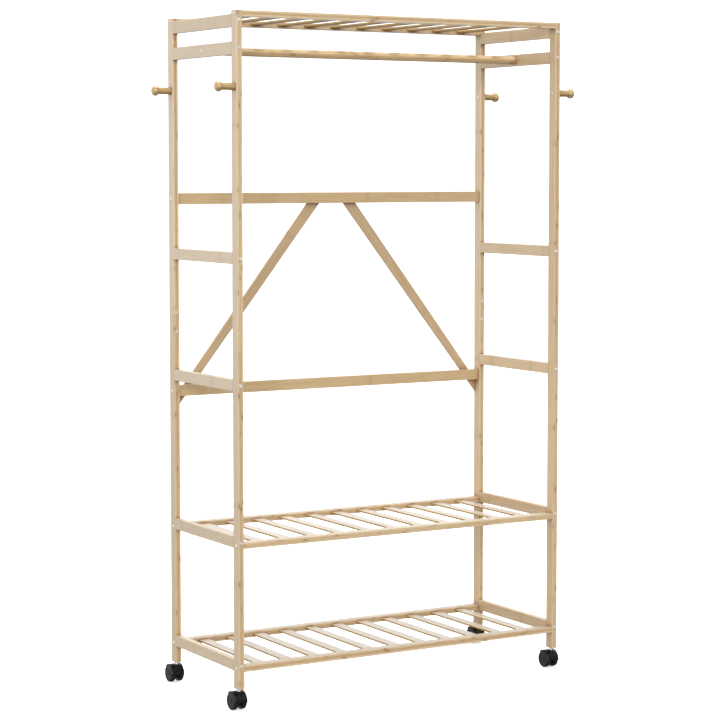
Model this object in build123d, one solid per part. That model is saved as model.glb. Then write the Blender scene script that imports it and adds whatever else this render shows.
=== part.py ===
from build123d import *
import os

# Rolling clothes rack: a bolted frame of laminated bamboo with three slatted shelves, a hanging
# rod, four coat pegs, two diagonal braces and four hooded twin-wheel swivel casters.
#
# Millimetres. +Z is up and z = 0 is the floor. +X runs along the rack to its right-hand side and
# +Y runs from its front to its back. The casters trail to the back, so the rack's box is a little
# longer behind the frame than in front of it: every sub-part is modelled about the middle of the
# frame and moved by CENTRE_SHIFT when it is written, which puts the origin under the box's middle.

# ---- frame ---------------------------------------------------------------------------------------
FRAME_LENGTH = 1000.0    # over the outer faces of the posts, along X
FRAME_DEPTH = 400.0      # over the outer faces of the posts, along Y
POST_LENGTH = 1738.0
POST_BOTTOM = 57.0       # height of the posts' feet above the floor
STOCK_THICK = 16.0       # posts and rails are all cut from 16 mm board
STOCK_WIDE = 29.0
EASE = 1.0               # radius of the sanded long edges
SLAT_EASE = 0.8
BRACE_EASE = 0.6

HALF_X = FRAME_LENGTH / 2
HALF_Y = FRAME_DEPTH / 2
INNER_X = HALF_X - STOCK_THICK
INNER_Y = HALF_Y - STOCK_WIDE
POST_X = HALF_X - STOCK_THICK / 2
POST_Y = HALF_Y - STOCK_WIDE / 2
POST_TOP = POST_BOTTOM + POST_LENGTH

# Each post is two lengths joined by a half lap. The upper length keeps the outer half of the lap.
LAP_LOW = POST_BOTTOM + 877.0
LAP_HIGH = POST_BOTTOM + 975.0
SPLICE_HEIGHTS = (POST_BOTTOM + 901.5, POST_BOTTOM + 953.5)

# Long rails lie flat between the posts, at the front and the back of each shelf: centre heights.
LONG_RAIL_HEIGHTS = {
    "bottom_shelf": POST_BOTTOM + 53.0,
    "middle_shelf": POST_BOTTOM + 373.0,
    "top_shelf": POST_TOP - STOCK_THICK / 2,
}

# Side rails stand on edge between a front and a back post: name, lower edge, height.
SIDE_RAILS = (
    ("bottom_side_rail", POST_BOTTOM + 45.0, 30.0),
    ("middle_side_rail", POST_BOTTOM + 365.5, 30.0),
    ("lower_guard_rail", POST_BOTTOM + 770.0, 30.0),
    ("upper_guard_rail", POST_BOTTOM + 1096.0, 30.0),
    ("rod_rail", POST_BOTTOM + 1627.5, 32.5),
    ("top_side_rail", POST_BOTTOM + 1697.0, 32.5),
)

# ---- shelf slats ---------------------------------------------------------------------------------
SLAT_COUNT = 11
SLAT_WIDE = 30.0
SLAT_THICK = 5.0
TENON_LONG = 8.0
TENON_WIDE = 26.0
TENON_THICK = 3.0
SLAT_GAP = (2 * INNER_X - SLAT_COUNT * SLAT_WIDE) / (SLAT_COUNT + 1)
SLAT_PITCH = SLAT_GAP + SLAT_WIDE

# ---- back rails and braces -----------------------------------------------------------------------
BACK_RAIL_TALL = 30.0
BACK_RAIL_LOWER = POST_BOTTOM + 741.0     # centre heights
BACK_RAIL_UPPER = POST_BOTTOM + 1258.5
BRACE_THICK = 6.5
BRACE_TOP = POST_BOTTOM + 1270.0
# Each long edge of a brace is a straight line: |X| = start - slope * height above the posts' feet.
BRACE_OUTER = (1053.0, 0.784)
BRACE_INNER = (1039.7, 0.8053)

# ---- hanging rod and pegs ------------------------------------------------------------------------
ROD_RADIUS = 11.0
ROD_HEIGHT = POST_BOTTOM + 1643.75
PEG_HEIGHT = POST_BOTTOM + 1546.0
PEG_LENGTH = 53.0
PEG_BASE_RADIUS = 10.2
PEG_WAIST_RADIUS = 9.1
PEG_NECK_RADIUS = 9.5
PEG_HEAD_RADIUS = 13.7
PEG_TIP_RADIUS = 4.0
PEG_WAIST_AT = 20.0      # distances from the post's face
PEG_NECK_END = 36.5
PEG_HEAD_WIDEST = 43.5

# ---- fasteners -----------------------------------------------------------------------------------
BOLT_RADIUS = 3.0
BOLT_HOLE_RADIUS = 3.2
BOLT_HEAD_RADIUS = 4.6
BOLT_HEAD_THICK = 2.4
BOLT_HEAD_PROUD = 0.8
BOLT_IN_RAIL = 22.0
HEX_RADIUS = 2.3
HEX_DEPTH = 1.6
INSERT_RADIUS = 4.6
INSERT_LENGTH = 14.0
SCREW_RADIUS = 1.8
SCREW_HEAD_RADIUS = 4.0
SCREW_HEAD_THICK = 2.0
SCREW_HEAD_PROUD = 0.5
CROSS_LONG = 4.0
CROSS_WIDE = 0.9
CROSS_DEPTH = 1.1
FASTENER_CLEARANCE = 0.15
SPLICE_SCREW_LENGTH = 23.0
PEG_SCREW_LENGTH = 44.0
BRACE_SCREW_LENGTH = 18.0
BRACE_SCREW_RISE = 9.5   # the lower brace screws pass above the back rail's connector bolts

# ---- casters -------------------------------------------------------------------------------------
WHEEL_RADIUS = 23.0
WHEEL_WIDE = 13.0
WHEEL_GAP = 12.0         # between the two wheels of a caster
WHEEL_SHOULDER = 3.6     # rounding of the tread's outer edge
WHEEL_INNER_ROUND = 2.4
RECESS_OUTER = 17.0      # ring-shaped recess in a wheel's outer face
RECESS_INNER = 7.5
RECESS_DEPTH = 1.2
CASTER_TRAIL = 14.0      # from the swivel axis back to the axle
AXLE_RADIUS = 3.0
AXLE_HALF_LENGTH = 16.0
AXLE_END_ROOM = 0.5
RUNNING_CLEARANCE = 0.05
WEB_HALF = 5.2
WEB_RADIUS = 16.5
FENDER_INNER = 23.7
FENDER_OUTER = 26.0
FENDER_HALF = 18.0
FENDER_FRONT = 184.0     # degrees round the axle, from straight back over the top
FENDER_BACK = 46.0
BOSS_RADIUS = 7.5
BOSS_FOOT = 36.0
BOSS_TOP = 50.0
SOCKET_FLOOR = 27.0
STEM_LOWER_RADIUS = 3.0
STEM_UPPER_RADIUS = 4.0
STEM_UPPER_LENGTH = 36.0
STEM_NECK_RADIUS = 4.6
FLANGE_RADIUS = 7.4
FLANGE_THICK = 1.8
NECK_GAP = 0.4           # between the stem's shoulder and the hood's boss
SOCKET_END_ROOM = 0.6

CASTER_REACH = POST_Y + CASTER_TRAIL + WHEEL_RADIUS
CENTRE_SHIFT = -(CASTER_REACH - HALF_Y) / 2

SIDES = (("left", -1), ("right", 1))
ENDS = (("front", -1), ("back", 1))
CORNERS = [(f"{end}_{side}", sx, sy) for end, sy in ENDS for side, sx in SIDES]


# ---- basic solids --------------------------------------------------------------------------------
def block(a, b):
    """A square-edged solid between two opposite corners, given in any order."""
    size = [abs(q - p) for p, q in zip(a, b)]
    middle = [(p + q) / 2 for p, q in zip(a, b)]
    return Pos(*middle) * Box(*size)


def board(a, b, along, ease=EASE):
    """A board between two corners, with its long edges rounded over."""
    solid = block(a, b)
    return fillet(solid.edges().filter_by(along), ease)


def moved_along(point, direction, distance):
    return tuple(p + distance * d for p, d in zip(point, direction))


def round_bar(start, direction, length, radius):
    plane = Plane(origin=start, z_dir=direction)
    return plane * Cylinder(radius, length, align=(Align.CENTER, Align.CENTER, Align.MIN))


def turned(points, origin, direction):
    """A turned solid from (distance along the axis, radius) points, closed along the axis."""
    outline = [(points[0][0], 0)] + list(points) + [(points[-1][0], 0)]
    face = make_face(Polyline(*outline, close=True))
    solid = revolve(face, Axis.X)
    # the outline's own X becomes the direction of the axis
    return Plane(origin=origin, x_dir=direction, z_dir=across(direction)) * solid


def across(direction):
    """A direction square to one that lies along X, Y or Z."""
    return (1, 0, 0) if abs(direction[2]) > 0.5 else (0, 0, 1)


# ---- places of the fasteners: (point on the face, direction inwards, thickness gone through) -------
def side_rail_bolt_places():
    places = []
    for _, low, tall in SIDE_RAILS:
        for _, sx, sy in CORNERS:
            places.append(((sx * POST_X, sy * HALF_Y, low + tall / 2), (0, -sy, 0), STOCK_WIDE))
    return places


def long_rail_bolt_places():
    places = []
    for height in LONG_RAIL_HEIGHTS.values():
        for _, sx, sy in CORNERS:
            places.append(((sx * HALF_X, sy * POST_Y, height), (-sx, 0, 0), STOCK_THICK))
    for height in (BACK_RAIL_LOWER, BACK_RAIL_UPPER):
        for _, sx in SIDES:
            places.append(((sx * HALF_X, POST_Y, height), (-sx, 0, 0), STOCK_THICK))
    return places


def rod_bolt_places():
    return [((sx * HALF_X, 0, ROD_HEIGHT), (-sx, 0, 0), STOCK_THICK) for _, sx in SIDES]


def splice_screw_places():
    places = []
    for height in SPLICE_HEIGHTS:
        for _, sx, sy in CORNERS:
            places.append(((sx * POST_X, sy * INNER_Y, height), (0, sy, 0), SPLICE_SCREW_LENGTH))
    return places


def peg_screw_places():
    places = []
    for _, sx, sy in CORNERS:
        places.append(((sx * INNER_X, sy * POST_Y, PEG_HEIGHT), (sx, 0, 0), PEG_SCREW_LENGTH))
    return places


def brace_edge_x(edge, height):
    return edge[0] - edge[1] * (height - POST_BOTTOM)


def brace_screw_places():
    places = []
    for height in (BACK_RAIL_LOWER + BRACE_SCREW_RISE, BACK_RAIL_UPPER):
        centre_x = (brace_edge_x(BRACE_OUTER, height) + brace_edge_x(BRACE_INNER, height)) / 2
        for _, sx in SIDES:
            places.append(((sx * centre_x, HALF_Y, height), (0, -1, 0), BRACE_SCREW_LENGTH))
    return places


BOLT_PLACES = side_rail_bolt_places() + long_rail_bolt_places() + rod_bolt_places()


# ---- fasteners and the holes for them --------------------------------------------------------------
def connector_bolt(place):
    """A bolt with a low round head, a hexagon socket and a plain shank."""
    point, inwards, through = place
    top = moved_along(point, inwards, -BOLT_HEAD_PROUD)
    edge = BOLT_HEAD_RADIUS - 0.5
    length = BOLT_HEAD_PROUD + through + BOLT_IN_RAIL
    outline = [
        (0, edge),
        (0.5, BOLT_HEAD_RADIUS),
        (BOLT_HEAD_THICK, BOLT_HEAD_RADIUS),
        (BOLT_HEAD_THICK, BOLT_RADIUS),
        (length - 1, BOLT_RADIUS),
        (length, BOLT_RADIUS - 1),
    ]
    socket = extrude(Plane(origin=top, z_dir=inwards) * RegularPolygon(HEX_RADIUS, 6), HEX_DEPTH)
    return turned(outline, top, inwards) - socket


def threaded_insert(place):
    """The steel sleeve in a rail's end that a connector bolt screws into."""
    point, inwards, through = place
    end = moved_along(point, inwards, through)
    sleeve = round_bar(end, inwards, INSERT_LENGTH, INSERT_RADIUS)
    return sleeve - round_bar(end, inwards, INSERT_LENGTH, BOLT_RADIUS + FASTENER_CLEARANCE)


def bolt_hole(place):
    """Counterbore, clearance hole and insert pocket, as one cutting tool."""
    point, inwards, through = place
    sink = BOLT_HEAD_THICK - BOLT_HEAD_PROUD
    end = moved_along(point, inwards, through)
    tool = round_bar(point, inwards, through + BOLT_IN_RAIL + 1.0, BOLT_HOLE_RADIUS)
    tool += round_bar(point, inwards, sink, BOLT_HEAD_RADIUS + FASTENER_CLEARANCE)
    return tool + round_bar(end, inwards, INSERT_LENGTH, INSERT_RADIUS + FASTENER_CLEARANCE)


def wood_screw(place):
    """A round-headed screw with a cross recess and a pointed end."""
    point, inwards, length = place
    top = moved_along(point, inwards, -SCREW_HEAD_PROUD)
    outline = [
        (0, SCREW_HEAD_RADIUS - 0.8),
        (0.6, SCREW_HEAD_RADIUS),
        (SCREW_HEAD_THICK, SCREW_HEAD_RADIUS),
        (SCREW_HEAD_THICK, SCREW_RADIUS),
        (length - 3.0, SCREW_RADIUS),
        (length - 0.3, 0.3),
    ]
    face = Plane(origin=top, z_dir=inwards)
    slots = Rectangle(CROSS_LONG, CROSS_WIDE) + Rectangle(CROSS_WIDE, CROSS_LONG)
    return turned(outline, top, inwards) - extrude(face * slots, CROSS_DEPTH)


def screw_hole(place):
    point, inwards, length = place
    sink = SCREW_HEAD_THICK - SCREW_HEAD_PROUD
    tool = round_bar(point, inwards, length + 0.5, SCREW_RADIUS + FASTENER_CLEARANCE)
    return tool + round_bar(point, inwards, sink, SCREW_HEAD_RADIUS + FASTENER_CLEARANCE)


def stem_hole(sx, sy):
    foot = (sx * POST_X, sy * POST_Y, POST_BOTTOM)
    radius = STEM_UPPER_RADIUS + FASTENER_CLEARANCE
    return round_bar(foot, (0, 0, 1), STEM_UPPER_LENGTH + 0.5, radius)


def cutting_tools():
    tools = [bolt_hole(place) for place in BOLT_PLACES]
    screws = splice_screw_places() + peg_screw_places() + brace_screw_places()
    tools += [screw_hole(place) for place in screws]
    tools += [stem_hole(sx, sy) for _, sx, sy in CORNERS]
    return [(tool, tool.bounding_box()) for tool in tools]


TOOLS = cutting_tools()


def boxes_meet(a, b):
    low = max(a.min.X, b.min.X), max(a.min.Y, b.min.Y), max(a.min.Z, b.min.Z)
    high = min(a.max.X, b.max.X), min(a.max.Y, b.max.Y), min(a.max.Z, b.max.Z)
    return all(p < q for p, q in zip(low, high))


def drilled(solid):
    """The solid with every fastener's hole that reaches it."""
    box = solid.bounding_box()
    near = [tool for tool, tool_box in TOOLS if boxes_meet(box, tool_box)]
    for tool in near:
        solid = solid - tool
    return solid


# ---- wooden pieces ---------------------------------------------------------------------------------
def post_lower(sx, sy):
    """Lower length of a post: its tongue is the half of the lap that faces the other post."""
    a = (sx * INNER_X, sy * INNER_Y, POST_BOTTOM)
    b = (sx * HALF_X, sy * HALF_Y, LAP_HIGH)
    waste = block((sx * INNER_X, sy * POST_Y, LAP_LOW), (sx * HALF_X, sy * HALF_Y, LAP_HIGH))
    return drilled(board(a, b, Axis.Z) - waste)


def post_upper(sx, sy):
    """Upper length of a post: its tongue is the outer half of the lap."""
    a = (sx * INNER_X, sy * INNER_Y, LAP_LOW)
    b = (sx * HALF_X, sy * HALF_Y, POST_TOP)
    waste = block((sx * INNER_X, sy * INNER_Y, LAP_LOW), (sx * HALF_X, sy * POST_Y, LAP_HIGH))
    return drilled(board(a, b, Axis.Z) - waste)


def side_rail(sx, low, tall):
    a = (sx * INNER_X, -INNER_Y, low)
    b = (sx * HALF_X, INNER_Y, low + tall)
    return drilled(board(a, b, Axis.Y))


def slat_centres():
    first = -INNER_X + SLAT_GAP + SLAT_WIDE / 2
    return [first + k * SLAT_PITCH for k in range(SLAT_COUNT)]


def tenon(centre_x, height):
    reach = INNER_Y + TENON_LONG
    a = (centre_x - TENON_WIDE / 2, -reach, height - TENON_THICK / 2)
    b = (centre_x + TENON_WIDE / 2, reach, height + TENON_THICK / 2)
    return block(a, b)


def long_rail(sy, height):
    """A shelf rail with a mortise for each slat in its inner face."""
    a = (-INNER_X, sy * INNER_Y, height - STOCK_THICK / 2)
    b = (INNER_X, sy * HALF_Y, height + STOCK_THICK / 2)
    rail = board(a, b, Axis.X)
    for centre_x in slat_centres():
        rail = rail - tenon(centre_x, height)
    return drilled(rail)


def slats(height):
    """The slats of one shelf, each with a tenon at both ends."""
    pieces = []
    for centre_x in slat_centres():
        a = (centre_x - SLAT_WIDE / 2, -INNER_Y, height - SLAT_THICK / 2)
        b = (centre_x + SLAT_WIDE / 2, INNER_Y, height + SLAT_THICK / 2)
        pieces.append(board(a, b, Axis.Y, SLAT_EASE) + tenon(centre_x, height))
    return group(pieces)


def back_rail(height):
    a = (-INNER_X, POST_Y - STOCK_THICK / 2, height - BACK_RAIL_TALL / 2)
    b = (INNER_X, POST_Y + STOCK_THICK / 2, height + BACK_RAIL_TALL / 2)
    return drilled(board(a, b, Axis.X))


def brace(sx):
    """A thin diagonal board behind the back rails, cut off at the post's inner face."""
    foot_outer = POST_BOTTOM + (BRACE_OUTER[0] - INNER_X) / BRACE_OUTER[1]
    foot_inner = POST_BOTTOM + (BRACE_INNER[0] - INNER_X) / BRACE_INNER[1]
    outline = [
        (sx * INNER_X, foot_outer),
        (sx * INNER_X, foot_inner),
        (sx * brace_edge_x(BRACE_INNER, BRACE_TOP), BRACE_TOP),
        (sx * brace_edge_x(BRACE_OUTER, BRACE_TOP), BRACE_TOP),
    ]
    # on the plane seen from the front, local x is X and local y is Z
    face = Plane(origin=(0, HALF_Y, 0), x_dir=(1, 0, 0), z_dir=(0, -1, 0)) * make_face(
        Polyline(*outline, close=True)
    )
    board_solid = extrude(face, BRACE_THICK, dir=(0, -1, 0))
    long_edges = board_solid.edges().filter_by(lambda edge: edge.length > 400)
    return drilled(fillet(long_edges, BRACE_EASE))


def hanging_rod():
    bar = round_bar((-INNER_X, 0, ROD_HEIGHT), (1, 0, 0), 2 * INNER_X, ROD_RADIUS)
    return drilled(bar)


def peg(sx, sy):
    """A turned coat peg: a slightly waisted shank and a mushroom-shaped head."""
    with BuildSketch() as outline:
        with BuildLine():
            Line((0, 0), (0, PEG_BASE_RADIUS))
            Spline(
                (0, PEG_BASE_RADIUS),
                (PEG_WAIST_AT, PEG_WAIST_RADIUS),
                (PEG_NECK_END, PEG_NECK_RADIUS),
                tangents=((1, -0.1), (1, 0.12)),
            )
            Spline(
                (PEG_NECK_END, PEG_NECK_RADIUS),
                (PEG_HEAD_WIDEST, PEG_HEAD_RADIUS),
                tangents=((1, 0.9), (1, 0)),
            )
            Spline(
                (PEG_HEAD_WIDEST, PEG_HEAD_RADIUS),
                (PEG_LENGTH, PEG_TIP_RADIUS),
                tangents=((1, 0), (0, -1)),
            )
            Line((PEG_LENGTH, PEG_TIP_RADIUS), (PEG_LENGTH, 0))
            Line((PEG_LENGTH, 0), (0, 0))
        make_face()
    solid = revolve(outline.sketch, Axis.X)
    place = Plane(origin=(sx * HALF_X, sy * POST_Y, PEG_HEIGHT), x_dir=(sx, 0, 0), z_dir=(0, 0, 1))
    return drilled(place * solid)


# ---- casters: each is built about its axle's middle, with the swivel axis in front -----------------
def caster_place(sx, sy):
    return Pos(sx * POST_X, sy * POST_Y + CASTER_TRAIL, WHEEL_RADIUS)


def caster_stem():
    """Steel stem: plain pin for the post, flange and neck under it, and the swivel pin below."""
    shoulder = BOSS_TOP + NECK_GAP
    outline = [
        (SOCKET_FLOOR + SOCKET_END_ROOM, STEM_LOWER_RADIUS),
        (shoulder, STEM_LOWER_RADIUS),
        (shoulder, STEM_NECK_RADIUS),
        (POST_BOTTOM - FLANGE_THICK, STEM_NECK_RADIUS),
        (POST_BOTTOM - FLANGE_THICK, FLANGE_RADIUS),
        (POST_BOTTOM, FLANGE_RADIUS),
        (POST_BOTTOM, STEM_UPPER_RADIUS),
        (POST_BOTTOM + STEM_UPPER_LENGTH - 1, STEM_UPPER_RADIUS),
        (POST_BOTTOM + STEM_UPPER_LENGTH, STEM_UPPER_RADIUS - 1),
    ]
    return turned(outline, (0, -CASTER_TRAIL, -WHEEL_RADIUS), (0, 0, 1))


def cross_bar(radius, low_x, high_x):
    return round_bar((low_x, 0, 0), (1, 0, 0), high_x - low_x, radius)


def sector(radius, half_width):
    """A slice of a disc about the axle, from the fender's back edge over the top to its front."""
    with BuildSketch(Plane.YZ) as outline:
        with BuildLine():
            CenterArc((0, 0), radius, FENDER_BACK, FENDER_FRONT - FENDER_BACK)
            start = PolarLocations(radius, 1, FENDER_BACK).locations[0].position
            end = PolarLocations(radius, 1, FENDER_FRONT).locations[0].position
            Line((end.X, end.Y), (0, 0))
            Line((0, 0), (start.X, start.Y))
        make_face()
    return extrude(outline.sketch, half_width, both=True)


def caster_hood():
    """Moulded hood: a web between the wheels, a fender over their treads and the stem's socket."""
    boss_place = Pos(0, -CASTER_TRAIL, 0)
    boss_low = BOSS_FOOT - WHEEL_RADIUS
    boss_high = BOSS_TOP - WHEEL_RADIUS
    boss = boss_place * round_bar((0, 0, boss_low), (0, 0, 1), boss_high - boss_low, BOSS_RADIUS)
    shell = sector(FENDER_OUTER, FENDER_HALF)
    shell = fillet(shell.edges().filter_by(GeomType.CIRCLE), 1.4)
    hood = shell + boss
    for low_x, high_x in ((-30.0, -WEB_HALF), (WEB_HALF, 30.0)):
        hood = hood - cross_bar(FENDER_INNER, low_x, high_x)
    hood = hood + cross_bar(WEB_RADIUS, -WEB_HALF, WEB_HALF)
    hood = hood - cross_bar(AXLE_RADIUS + RUNNING_CLEARANCE, -WEB_HALF - 1, WEB_HALF + 1)
    socket_low = SOCKET_FLOOR - WHEEL_RADIUS
    socket = round_bar((0, 0, socket_low), (0, 0, 1), 40.0, STEM_LOWER_RADIUS + RUNNING_CLEARANCE)
    return hood - boss_place * socket


def caster_axle():
    bar = cross_bar(AXLE_RADIUS, -AXLE_HALF_LENGTH, AXLE_HALF_LENGTH)
    return chamfer(bar.edges(), 0.5)


def caster_wheel(side):
    """One wheel, with its blind bore towards the web and its capped face outwards."""
    near = WHEEL_GAP / 2
    far = near + WHEEL_WIDE
    wheel = cross_bar(WHEEL_RADIUS, near, far)
    rims = wheel.edges().filter_by(GeomType.CIRCLE).sort_by(Axis.X)
    wheel = fillet(rims[-1], WHEEL_SHOULDER)
    rims = wheel.edges().filter_by(GeomType.CIRCLE).sort_by(Axis.X)
    wheel = fillet(rims[0], WHEEL_INNER_ROUND)
    recess = cross_bar(RECESS_OUTER, far - RECESS_DEPTH, far)
    recess = recess - cross_bar(RECESS_INNER, far - RECESS_DEPTH, far)
    bore = cross_bar(AXLE_RADIUS + RUNNING_CLEARANCE, near, AXLE_HALF_LENGTH + AXLE_END_ROOM)
    wheel = wheel - recess - bore
    return wheel if side > 0 else mirror(wheel, Plane.YZ)


# ---- writing the sub-parts -------------------------------------------------------------------------
def group(pieces):
    """Several separate solids as one sub-part."""
    return Compound([solid for piece in pieces for solid in piece.solids()])


def save(name, shape):
    export_step(Pos(0, CENTRE_SHIFT, 0) * shape, f"parts/{name}.step")


def save_frame():
    for corner, sx, sy in CORNERS:
        save(f"post_{corner}_lower", post_lower(sx, sy))
        save(f"post_{corner}_upper", post_upper(sx, sy))
        save(f"coat_peg_{corner}", peg(sx, sy))
    for name, low, tall in SIDE_RAILS:
        for side, sx in SIDES:
            save(f"{name}_{side}", side_rail(sx, low, tall))
    for shelf, height in LONG_RAIL_HEIGHTS.items():
        for end, sy in ENDS:
            save(f"{shelf}_rail_{end}", long_rail(sy, height))
        save(f"{shelf}_slats", slats(height))
    save("back_rail_lower", back_rail(BACK_RAIL_LOWER))
    save("back_rail_upper", back_rail(BACK_RAIL_UPPER))
    for side, sx in SIDES:
        save(f"diagonal_brace_{side}", brace(sx))
    save("hanging_rod", hanging_rod())


def save_fasteners():
    save("connector_bolts", group([connector_bolt(place) for place in BOLT_PLACES]))
    save("threaded_inserts", group([threaded_insert(place) for place in BOLT_PLACES]))
    save("splice_screws", group([wood_screw(place) for place in splice_screw_places()]))
    save("peg_screws", group([wood_screw(place) for place in peg_screw_places()]))
    save("brace_screws", group([wood_screw(place) for place in brace_screw_places()]))


def save_casters():
    stem = caster_stem()
    hood = caster_hood()
    axle = caster_axle()
    save("caster_stems", group([caster_place(sx, sy) * stem for _, sx, sy in CORNERS]))
    for corner, sx, sy in CORNERS:
        place = caster_place(sx, sy)
        save(f"caster_hood_{corner}", place * hood)
        save(f"caster_axle_{corner}", place * axle)
        save(f"wheel_{corner}_outer", place * caster_wheel(sx))
        save(f"wheel_{corner}_inner", place * caster_wheel(-sx))


os.makedirs("parts", exist_ok=True)
save_frame()
save_fasteners()
save_casters()
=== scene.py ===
import math

import bmesh
import bpy
from mathutils import Euler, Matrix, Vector


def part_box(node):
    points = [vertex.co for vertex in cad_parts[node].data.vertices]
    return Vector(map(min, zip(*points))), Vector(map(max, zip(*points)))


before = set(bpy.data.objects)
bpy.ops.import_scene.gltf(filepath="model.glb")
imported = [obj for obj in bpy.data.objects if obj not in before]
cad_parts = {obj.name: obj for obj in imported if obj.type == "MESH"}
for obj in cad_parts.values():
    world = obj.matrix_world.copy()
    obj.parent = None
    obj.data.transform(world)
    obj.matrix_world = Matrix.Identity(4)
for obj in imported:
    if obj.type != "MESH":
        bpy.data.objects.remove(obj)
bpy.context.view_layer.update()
MM = 0.001
MM_IN_METRE = 1000


# ---- materials -------------------------------------------------------------------------------------
def linear(hex_colour):
    """An sRGB hex colour as the linear RGBA that shader sockets take."""
    channels = [int(hex_colour[i:i + 2], 16) / 255 for i in (1, 3, 5)]
    flat = [c / 12.92 if c <= 0.04045 else ((c + 0.055) / 1.055) ** 2.4 for c in channels]
    return (*flat, 1.0)


def per_mm(size):
    """The scale that makes a noise's features about this many millimetres across."""
    return 1 / (size * MM)


class Recipe:
    """The nodes of a material or a world while it is being made."""

    def __init__(self, owner):
        owner.use_nodes = True
        self.owner = owner
        self.tree = owner.node_tree
        self.tree.nodes.clear()

    def add(self, kind, inputs=(), stops=(), **settings):
        """Puts in one node with its settings, values and links, and returns its outputs.

        The inputs are a tuple in the order of the sockets, or a dict by name or number. The stops are
        those of a colour ramp: a position and a colour, which is a hex or the number of a grey."""
        node = self.tree.nodes.new("ShaderNode" + kind)
        for key, value in settings.items():
            setattr(node, key, value)
        by_socket = inputs if isinstance(inputs, dict) else dict(enumerate(inputs))
        for socket, value in by_socket.items():
            if isinstance(value, bpy.types.NodeSocket):
                self.tree.links.new(value, node.inputs[socket])
            else:
                node.inputs[socket].default_value = value
        if stops:
            elements = node.color_ramp.elements
            while len(elements) < len(stops):
                elements.new(0.5)
            for element, (position, colour) in zip(elements, stops):
                element.position = position
                is_hex = isinstance(colour, str)
                element.color = linear(colour) if is_hex else (colour, colour, colour, 1.0)
        return node.outputs


AXES = {"X": 0, "Y": 1, "Z": 2}

# real sizes, in mm, that the patterns follow
CULM_JOINT = 236.0      # from one joint of a culm to the next
JOINT_REACH = 16.0      # from the middle of a joint's dark mark to its edge
JOINT_WAVE = 7.0        # how far a joint strays from square across its ply
STREAK = (150.0, 2.6)   # a streak of tone in the wood: its length and its width
FIBRE = (38.0, 0.8)     # a fibre's dash: its length and its width, coarse enough to show
DRIFT = 3.0             # how far the fibres stray from straight
DRIFT_RUN = 140         # and over what length
BUNDLE = 1.1            # between the fibre bundles that show as dots on a cut end
CORNER_SHADE_REACH = 22       # how far the painted shade reaches from a corner
WHEEL = 46.0            # across a caster's wheel
TURNING_RING = 1.5      # from one moulded ring on a wheel's face to the next

# numbers without a unit
VARNISH = 0.8           # weight of the clear coat
PLY_SHIFT = 91          # keeps the streaks of neighbouring plies apart
START_SPAN = 7          # culm joints that a ply's start is picked from
EDGE_LIFT = 1.06        # how much lighter the edges are than their ramp
STREAK_SHARE, PLY_SHARE, OUTER_PLY_SHARE = 0.6, 0.2, 0.17      # what makes up a ply's tone

WARM = ((0.2, "#AA875F"), (0.42, "#C2A57D"), (0.6, "#CEB690"), (0.85, "#D9C6A4"))
# the paler skin side's colours, partly the skin's own colour and partly painted light
PALE = ((0.2, "#B7A182"), (0.42, "#C4B194"), (0.6, "#CCBB9F"), (0.85, "#D6C8B0"))
CUT_END = ((0.0, "#7E552D"), (0.35, "#B38A57"), (0.7, "#C7A26F"))


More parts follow.
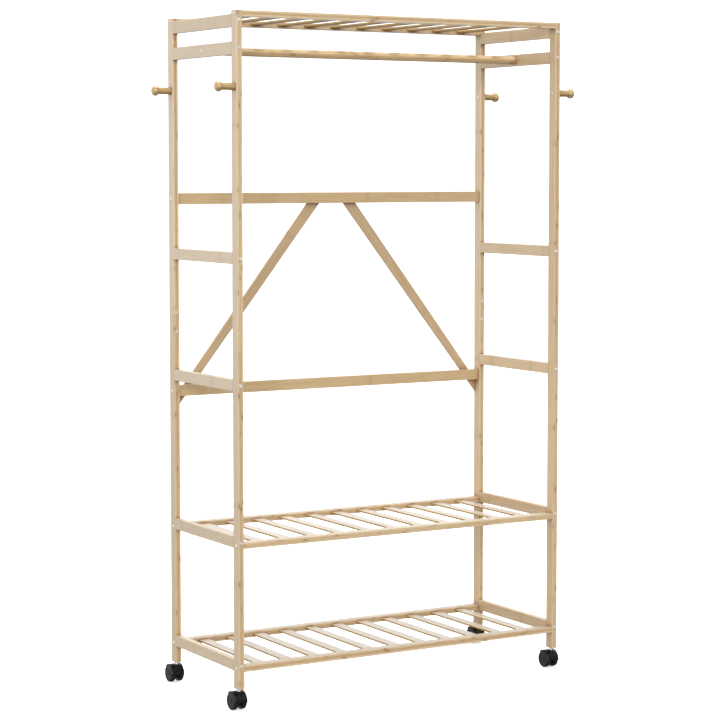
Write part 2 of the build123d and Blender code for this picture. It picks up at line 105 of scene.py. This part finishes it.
def laminated_bamboo(name, along, wide, thick, origin, ply, seed, skin=1, board=0.0, lean=0.0,
                     warm_shade=(1.0, 1.0), pale_shade=(0.98, 1.1), bare=False):
    """Varnished laminated bamboo, for a board that runs along one axis.

    Plies of split culm are glued face to face, so a narrow edge shows warm stripes, one to a ply. The
    broad face on the skin side of the culm is paler and greyer, with only fine streaks; this paleness
    is partly the skin's own colour and partly painted light. A culm's joint crosses each ply every 20
    to 30 cm as a darker, slightly wavy mark, and its fibres run along the ply as fine dashes. Cut ends
    show the fibre bundles as dots. Corners where boards meet are darkened with painted shade. The
    varnish is satin. On a bare board only the skin side has any.

    A shade is how much lighter and how much stronger the colour is than the plain one's."""
    r = Recipe(bpy.data.materials.new(name))
    place = r.add("TexCoord")
    turned = r.add(
        "Mapping",
        {0: place["Object"], "Rotation": (0, lean, 0), "Scale": (MM_IN_METRE,) * 3},
    )[0]
    parts = r.add("SeparateXYZ", (turned,))
    length = r.add("Math", (parts[AXES[along]], origin[0]), operation="SUBTRACT")[0]
    width = r.add("Math", (parts[AXES[wide]], origin[1]), operation="SUBTRACT")[0]
    depth = r.add("Math", (parts[AXES[thick]], origin[2]), operation="SUBTRACT")[0]
    facing = r.add("SeparateXYZ", (place["Normal"],))
    skin_side = r.add("Math", (facing[AXES[thick]], float(skin)), operation="MULTIPLY")[0]
    broad = r.add("Math", (skin_side,), operation="ABSOLUTE")[0]
    # the skin side, painted paler: partly its own colour and partly painted light
    skin_and_painted_light = r.add("ValToRGB", (skin_side,), ((0.45, 0.0), (0.85, 1.0)))[0]

    # which ply, and which board where one node holds several
    plies = r.add("Math", (depth, ply), operation="DIVIDE")[0]
    layer = r.add("Math", (plies,), operation="FLOOR")[0]
    which = 0.0
    if board:
        pitches = r.add("Math", (width, board), operation="DIVIDE")[0]
        which = r.add("Math", (pitches,), operation="FLOOR")[0]
    key = r.add("CombineXYZ", (layer, which, float(seed)))[0]
    chance = r.add("TexWhiteNoise", (key,), noise_dimensions="3D")
    chances = r.add("SeparateColor", (chance["Color"],))

    # the fibres drift slowly from the straight
    drift_along = r.add("Math", (length, 1 / DRIFT_RUN), operation="MULTIPLY")[0]
    drift_at = r.add("CombineXYZ", (drift_along, layer, which))[0]
    drift = r.add("TexNoise", {0: drift_at, "Scale": 1.0, "Detail": 1.0})[0]
    swing = r.add("Math", (drift, 0.5), operation="SUBTRACT")[0]
    stray = r.add("Math", (swing, DRIFT), operation="MULTIPLY")[0]
    bent = r.add("Math", (width, stray), operation="ADD")[0]

    # long streaks of tone, and the short dashes of single fibres
    shift = r.add("Math", (chance[0], PLY_SHIFT), operation="MULTIPLY")[0]
    noises = []
    for (run, pitch), detail in ((STREAK, 2.0), (FIBRE, 3.0)):
        runs = r.add("Math", (length, run), operation="DIVIDE")[0]
        shifted = r.add("Math", (runs, shift), operation="ADD")[0]
        across = r.add("Math", (bent, pitch), operation="DIVIDE")[0]
        inward = r.add("Math", (depth, pitch), operation="DIVIDE")[0]
        at = r.add("CombineXYZ", (shifted, across, inward))[0]
        noise = {0: at, "Scale": 1.0, "Detail": detail, "Roughness": 0.55}
        noises.append(r.add("TexNoise", noise)[0])
    streak, fibre = noises

    # culm joints
    start = r.add("Math", (chances[0], CULM_JOINT * START_SPAN), operation="MULTIPLY")[0]
    wave_at = r.add("CombineXYZ", (width, layer))[0]
    wave = r.add("TexNoise", {0: wave_at, "Scale": 0.12})[0]
    swing = r.add("Math", (wave, 0.5), operation="SUBTRACT")[0]
    wavy = r.add("Math", (swing, JOINT_WAVE), operation="MULTIPLY")[0]
    started = r.add("Math", (length, start), operation="ADD")[0]
    waved = r.add("Math", (started, wavy), operation="ADD")[0]
    steps = r.add("Math", (waved, CULM_JOINT), operation="DIVIDE")[0]
    count = r.add("Math", (steps,), operation="FLOOR")[0]
    own = r.add("Math", (which, float(seed)), operation="ADD")[0]
    joint_key = r.add("CombineXYZ", (count, layer, own))[0]
    joint = r.add("TexWhiteNoise", (joint_key,), noise_dimensions="3D")
    joints = r.add("SeparateColor", (joint["Color"],))
    spread = r.add("Math", (joints[1], 0.4), operation="MULTIPLY")[0]
    centre = r.add("Math", (0.3, spread), operation="ADD")[0]
    part_way = r.add("Math", (steps,), operation="FRACT")[0]
    from_centre = r.add("Math", (part_way, centre), operation="SUBTRACT")[0]
    away = r.add("Math", (from_centre,), operation="ABSOLUTE")[0]
    away_mm = r.add("Math", (away, CULM_JOINT), operation="MULTIPLY")[0]
    reach = r.add("Math", (away_mm, JOINT_REACH), operation="DIVIDE")[0]
    band = r.add("ValToRGB", (reach,), ((0.0, 1.0), (0.25, 0.65), (0.55, 0.22), (1.0, 0.0)))[0]
    some = r.add("Math", (joints[2], 0.9), operation="MULTIPLY")[0]
    strength = r.add("Math", (0.1, some), operation="ADD")[0]
    on_edge = r.add("ValToRGB", (broad,), ((0.4, 1.0), (0.8, 0.22)))[0]
    strong_band = r.add("Math", (band, strength), operation="MULTIPLY")[0]
    joint_mark = r.add("Math", (strong_band, on_edge), operation="MULTIPLY")[0]

    # colour: warm edges and inner faces, pale skin side, the paler skin side being partly the skin's
    # own colour and partly painted light
    odd_ply = r.add("Math", (layer, 1.0), operation="PINGPONG")[0]
    outer_ply = r.add("Math", (1.0, odd_ply), operation="SUBTRACT")[0]
    ply_tone = r.add("Math", (chances[1], PLY_SHARE), operation="MULTIPLY")[0]
    outer_tone = r.add("Math", (outer_ply, OUTER_PLY_SHARE), operation="MULTIPLY")[0]
    own_tone = r.add("Math", (ply_tone, outer_tone), operation="ADD")[0]
    streak_tone = r.add("Math", (streak, STREAK_SHARE), operation="MULTIPLY")[0]
    tone = r.add("Math", (streak_tone, own_tone), operation="ADD")[0]
    edge_lift = r.add("ValToRGB", (broad,), ((0.4, 1.0), (0.8, 0.9)))[0]
    lifted = r.add("Math", (edge_lift, EDGE_LIFT * warm_shade[0]), operation="MULTIPLY")[0]
    shade = {"Color": r.add("ValToRGB", (tone,), WARM)[0], "Value": lifted,
             "Saturation": warm_shade[1]}
    warm = r.add("HueSaturation", shade)[0]
    shade = {"Color": r.add("ValToRGB", (tone,), PALE)[0], "Value": pale_shade[0],
             "Saturation": pale_shade[1]}
    pale = r.add("HueSaturation", shade)[0]

    dashes = r.add("ValToRGB", (fibre,), ((0.36, 1.0), (0.47, 0.0)))[0]
    dash = r.add("Math", (dashes, 0.22), operation="MULTIPLY")[0]
    joint_seen = r.add("Math", (joint_mark, 0.8), operation="MULTIPLY")[0]
    glue = r.add("Math", (plies,), operation="FRACT")[0]
    glue_line = r.add("ValToRGB", (glue,), ((0.0, 1.0), (0.06, 0.0), (0.94, 0.0), (1.0, 1.0)))[0]
    glue_on_edge = r.add("Math", (glue_line, on_edge), operation="MULTIPLY")[0]
    glue_seen = r.add("Math", (glue_on_edge, 0.4), operation="MULTIPLY")[0]

    # cut ends
    ahead = r.add("Math", (facing[AXES[along]],), operation="ABSOLUTE")[0]
    end = r.add("ValToRGB", (ahead,), ((0.8, 0.0), (0.92, 1.0)))[0]
    dots_at = r.add("CombineXYZ", (width, depth, 0.0))[0]
    dots = r.add("TexVoronoi", {0: dots_at, "Scale": 1 / BUNDLE})["Distance"]
    end_colour = r.add("ValToRGB", (dots,), CUT_END)[0]

    # painted shade: the colour is darkened in the corners where boards meet, where shade falls
    corner = r.add("AmbientOcclusion", {"Distance": CORNER_SHADE_REACH * MM}, samples=6)["AO"]
    painted_corner_shade = r.add("ValToRGB", (corner,), ((0.3, 1.0), (0.88, 0.0)))[0]

    colour = warm
    for blend, factor, over in (
        # the paler skin side, partly its own colour and partly painted light
        ("MIX", skin_and_painted_light, pale),
        ("MULTIPLY", dash, linear("#A87F52")),
        ("MIX", joint_seen, linear("#80592F")),
        ("MULTIPLY", glue_seen, linear("#A07345")),
        ("MIX", end, end_colour),
        # painted shade in the corners where boards meet
        ("MULTIPLY", painted_corner_shade, linear("#A87040")),
    ):
        layers = {0: factor, 6: colour, 7: over}
        colour = r.add("Mix", layers, data_type="RGBA", blend_type=blend)[2]

    coat = VARNISH
    if bare:
        coat = r.add("ValToRGB", (skin_side,), ((0.45, 0.0), (0.85, VARNISH)))[0]
    raised = r.add("Math", (fibre, 0.5), operation="MULTIPLY")[0]
    joint_raised = r.add("Math", (joint_mark, 0.8), operation="MULTIPLY")[0]
    height = r.add("Math", (raised, joint_raised), operation="ADD")[0]
    surface = {
        "Base Color": colour,
        "Roughness": r.add("ValToRGB", (fibre,), ((0.3, 0.46), (0.7, 0.34)))[0],
        "Normal": r.add("Bump", {"Height": height, "Strength": 0.35, "Distance": 0.12 * MM})[0],
        "Coat Weight": coat,
        "Coat Roughness": 0.2,
    }
    r.add("OutputMaterial", (r.add("BsdfPrincipled", surface)[0],))
    return r.owner


def nickel_plated_steel():
    """Barrel-plated bolt heads: bright, satin reflections with fine tumbling marks."""
    r = Recipe(bpy.data.materials.new("nickel-plated steel"))
    at = r.add("TexCoord")["Object"]
    marks = r.add("TexNoise", {0: at, "Scale": per_mm(0.4), "Detail": 2.0})[0]
    surface = {
        "Base Color": r.add("ValToRGB", (marks,), ((0.3, "#E9E5DD"), (0.7, "#F8F6F1")))[0],
        "Metallic": 1.0,
        "Roughness": r.add("ValToRGB", (marks,), ((0.3, 0.5), (0.7, 0.62)))[0],
    }
    r.add("OutputMaterial", (r.add("BsdfPrincipled", surface)[0],))
    return r.owner


def hood_nylon():
    """Black injection-moulded nylon: a fine spark-eroded grain that breaks up a broad, soft gloss."""
    r = Recipe(bpy.data.materials.new("injection-moulded nylon hood"))
    at = r.add("TexCoord")["Object"]
    grain = r.add("TexNoise", {0: at, "Scale": per_mm(0.35), "Detail": 3.0})[0]
    flow = r.add("TexNoise", {0: at, "Scale": per_mm(16), "Detail": 2.0})[0]
    surface = {
        "Base Color": r.add("ValToRGB", (flow,), ((0.3, "#08080A"), (0.7, "#0E0E11")))[0],
        "Roughness": r.add("ValToRGB", (flow,), ((0.3, 0.2), (0.7, 0.3)))[0],
        "Normal": r.add("Bump", {"Height": grain, "Strength": 0.25, "Distance": 0.05 * MM})[0],
        "Specular IOR Level": 0.36,
    }
    r.add("OutputMaterial", (r.add("BsdfPrincipled", surface)[0],))
    return r.owner


def wheel_nylon():
    """Black injection-moulded nylon: faint rings on the capped face, and a tread that the floor has
    dulled and dusted."""
    r = Recipe(bpy.data.materials.new("injection-moulded nylon wheel"))
    place = r.add("TexCoord")
    from_axle = r.add(
        "Mapping",
        {0: place["Generated"], "Location": (0, -WHEEL / 2, -WHEEL / 2), "Scale": (0, WHEEL, WHEEL)},
    )[0]
    radius = r.add("VectorMath", (from_axle,), operation="LENGTH")["Value"]
    outward_share = r.add("Math", (radius, WHEEL / 2), operation="DIVIDE")[0]
    tread = r.add("ValToRGB", (outward_share,), ((0.93, 0.0), (0.98, 1.0)))[0]
    grain = r.add("TexNoise", {0: place["Object"], "Scale": per_mm(0.5), "Detail": 3.0})[0]
    scuff = r.add("TexNoise", {0: place["Object"], "Scale": per_mm(2.2), "Detail": 4.0})[0]
    dusty = r.add("ValToRGB", (scuff,), ((0.42, 0.0), (0.7, 0.75)))[0]
    dust = r.add("Math", (tread, dusty), operation="MULTIPLY")[0]
    body = r.add("ValToRGB", (scuff,), ((0.3, "#0B0C0F"), (0.7, "#111216")))[0]
    layers = {0: dust, 6: body, 7: linear("#3A3835")}
    turn = r.add("Math", (radius, math.tau / TURNING_RING), operation="MULTIPLY")[0]
    ridges = r.add("Math", (turn,), operation="SINE")[0]
    rings = r.add("Math", (ridges, 0.4), operation="MULTIPLY")[0]
    face = r.add("Math", (1.0, tread), operation="SUBTRACT")[0]
    rings_on_face = r.add("Math", (rings, face), operation="MULTIPLY")[0]
    grain_height = r.add("Math", (grain, 0.5), operation="MULTIPLY")[0]
    height = r.add("Math", (rings_on_face, grain_height), operation="ADD")[0]
    surface = {
        "Base Color": r.add("Mix", layers, data_type="RGBA", blend_type="MIX")[2],
        "Roughness": r.add("ValToRGB", (tread,), ((0.0, 0.3), (1.0, 0.5)))[0],
        "Normal": r.add("Bump", {"Height": height, "Strength": 0.3, "Distance": 0.06 * MM})[0],
        "Specular IOR Level": 0.36,
    }
    r.add("OutputMaterial", (r.add("BsdfPrincipled", surface)[0],))
    return r.owner


def paint(node, material):
    """Gives a carried-over CAD node its finish."""
    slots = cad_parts[node].material_slots
    for slot in slots:
        slot.material = material


# ---- wood, steel and nylon -------------------------------------------------------------------------
PLY = 16.0 / 3              # mm, three plies to a board
BRACE_PLY = 6.5             # mm, a brace is one ply
SLAT_PLY = 5.0              # mm, a slat is one ply
ROD_PLY = 22.0 / 4          # mm, the rod is turned from four plies
SLAT_PITCH = 83.1667        # mm, from one slat to the next
CORNERS = ("front_left", "front_right", "back_left", "back_right")
SIDE_RAILS = ("bottom_side_rail", "middle_side_rail", "lower_guard_rail", "upper_guard_rail",
              "rod_rail", "top_side_rail")
SHELVES = ("bottom_shelf", "middle_shelf", "top_shelf")
STEEL_PIECES = ("connector_bolts", "threaded_inserts", "splice_screws", "peg_screws",
                "brace_screws", "caster_stems")

# shades of bamboo that differ from the plain one
# slats: tops painted lighter as if lit from above, edges and undersides painted darker as if in shade
SLAT_WITH_PAINTED_LIGHT = {"board": SLAT_PITCH, "warm_shade": (0.7, 1.55), "pale_shade": (1.1, 0.68), "bare": True}
PEG = {"warm_shade": (0.7, 1.25)}
BACK_RAIL = {"warm_shade": (1.0, 1.1)}
ROD = {"warm_shade": (0.98, 1.06)}


def outward(node):
    """-1 for a node on the left-hand side of the rack, +1 on the right-hand side."""
    return -1 if "left" in node else 1


def boards():
    """One row to a piece: its node, its long, broad and thin axes, ply, skin side and the rest.

    The skin side is 1 where the skin faces along the thin axis, -1 against it and 0 on turned wood."""
    rows = []
    for corner in CORNERS:
        for half in ("lower", "upper"):
            rows.append((f"post_{corner}_{half}", "ZYX", PLY, outward(corner), {}))
        rows.append((f"coat_peg_{corner}", "XYZ", PLY, 0, PEG))
    for name in SIDE_RAILS:
        for side in ("left", "right"):
            rows.append((f"{name}_{side}", "YZX", PLY, outward(side), {}))
    for shelf in SHELVES:
        for end in ("front", "back"):
            rows.append((f"{shelf}_rail_{end}", "XYZ", PLY, 1, {}))
        rows.append((f"{shelf}_slats", "YXZ", SLAT_PLY, 1, SLAT_WITH_PAINTED_LIGHT))
    for height in ("lower", "upper"):
        rows.append((f"back_rail_{height}", "XZY", PLY, 1, BACK_RAIL))
    for side in ("left", "right"):
        node = f"diagonal_brace_{side}"
        low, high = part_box(node)
        angle = -outward(node) * math.atan2(high.z - low.z, high.x - low.x)
        rows.append((node, "XZY", BRACE_PLY, 1, {"lean": angle}))
    rows.append(("hanging_rod", "XYZ", ROD_PLY, 0, ROD))
    return rows


def wood():
    for seed, (node, axes, ply, skin, more) in enumerate(boards(), start=1):
        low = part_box(node)[0]
        origin = [low[AXES[axis]] * MM_IN_METRE for axis in axes]
        name = f"laminated bamboo {node}"
        paint(node, laminated_bamboo(name, *axes, origin, ply, seed, skin, **more))


def steel_and_nylon():
    steel = nickel_plated_steel()
    for node in STEEL_PIECES:
        paint(node, steel)
    hoods = hood_nylon()
    wheels = wheel_nylon()
    for corner in CORNERS:
        paint(f"caster_hood_{corner}", hoods)
        paint(f"caster_axle_{corner}", steel)
        for side in ("outer", "inner"):
            paint(f"wheel_{corner}_{side}", wheels)


# ---- floor, light and camera -----------------------------------------------------------------------
# sizes and places here are in metres and powers in watts
FLOOR_HALF = 30.0
WALL_RADIUS = 26.0
WALL_HEIGHT = 40.0
WALL_MIDDLE = 19.5
RACK_MIDDLE = (0, 0, 0.9)
BRIGHT_SIDE = (-0.5, 0.85, 0.6)      # the surround is brightest to the back left and overhead
SOFTBOXES = (                        # name, place, size, power
    ("key softbox", (-6.6, -11.0, 3.2), (5.5, 5.5), 1200),
    ("overhead softbox", (0, 0, 9.0), (1.4, 1.4), 520),
    ("fill softbox", (11.0, 4.0, 3.5), (6.0, 6.0), 950),
)
CAMERA_PLACE = (-3.0911, -5.2293, 1.3915)
CAMERA_PITCH = 4.211                 # degrees down from level
CAMERA_TURN = 30.548                 # degrees to the right of square on
LENS = 110.2                         # mm on a sensor 36 mm wide
SENSOR = 36.0


def stage_piece(name, shape, glow):
    """A matt white piece of the studio, which glows enough to stay white and lights nothing else."""
    mesh = bpy.data.meshes.new(name)
    shape.to_mesh(mesh)
    shape.free()
    r = Recipe(bpy.data.materials.new(f"white paint {name}"))
    surface = {
        "Base Color": linear("#F2F2F2"),
        "Roughness": 0.9,
        "Emission Color": linear("#FFFFFF"),
        "Emission Strength": glow,
    }
    r.add("OutputMaterial", (r.add("BsdfPrincipled", surface)[0],))
    mesh.materials.append(r.owner)
    piece = bpy.data.objects.new(name, mesh)
    piece.visible_diffuse = False
    piece.visible_glossy = False
    bpy.context.scene.collection.objects.link(piece)
    return piece


def floor():
    shape = bmesh.new()
    bmesh.ops.create_grid(shape, x_segments=2, y_segments=2, size=FLOOR_HALF)
    stage_piece("floor", shape, 0.5)


def backdrop():
    """A white wall all round, which only closes off the view."""
    shape = bmesh.new()
    bmesh.ops.create_cone(shape, segments=96, radius1=WALL_RADIUS, radius2=WALL_RADIUS,
                          depth=WALL_HEIGHT, cap_ends=False)
    bmesh.ops.translate(shape, verts=shape.verts, vec=(0, 0, WALL_MIDDLE))
    wall = stage_piece("backdrop", shape, 1.0)
    wall.visible_shadow = False


def softbox(name, where, size, power):
    """A white panel of light that faces the middle of the rack."""
    light = bpy.data.lights.new(name, "AREA")
    light.shape = "RECTANGLE"
    light.size, light.size_y = size
    light.energy = power
    holder = bpy.data.objects.new(name, light)
    holder.location = where
    toward_rack = Vector(RACK_MIDDLE) - Vector(where)
    holder.rotation_euler = toward_rack.to_track_quat("-Z", "Y").to_euler()
    bpy.context.scene.collection.objects.link(holder)


def surround():
    """Soft light from all round, strongest from the back left and above and dim from below."""
    world = bpy.data.worlds.new("studio surround")
    bpy.context.scene.world = world
    r = Recipe(world)
    at = r.add("TexCoord")["Generated"]
    upward = r.add("SeparateXYZ", (at,))[2]
    toward = r.add("VectorMath", (at, BRIGHT_SIDE), operation="DOT_PRODUCT")["Value"]
    heights = {0: upward, "From Min": -0.4, "From Max": -0.02, "To Min": 0.3, "To Max": 1.0}
    sides = {0: toward, "From Min": -1.0, "From Max": 1.0, "To Min": 0.58, "To Max": 1.42}
    by_height = r.add("MapRange", heights)[0]
    by_side = r.add("MapRange", sides)[0]
    strength = r.add("Math", (by_height, by_side), operation="MULTIPLY")[0]
    shade = r.add("Background", {"Strength": strength})[0]
    r.add("OutputWorld", (shade,))


def camera():
    data = bpy.data.cameras.new("camera")
    data.sensor_width = SENSOR
    data.lens = LENS
    data.shift_y = -0.04
    data.clip_end = 100
    holder = bpy.data.objects.new("camera", data)
    holder.location = CAMERA_PLACE
    tilt = math.radians(90 - CAMERA_PITCH)
    holder.rotation_euler = Euler((tilt, 0, math.radians(-CAMERA_TURN)))
    bpy.context.scene.collection.objects.link(holder)
    bpy.context.scene.camera = holder


wood()
steel_and_nylon()
floor()
backdrop()
surround()
for box in SOFTBOXES:
    softbox(*box)
camera()
bpy.context.scene.view_settings.view_transform = "Standard"
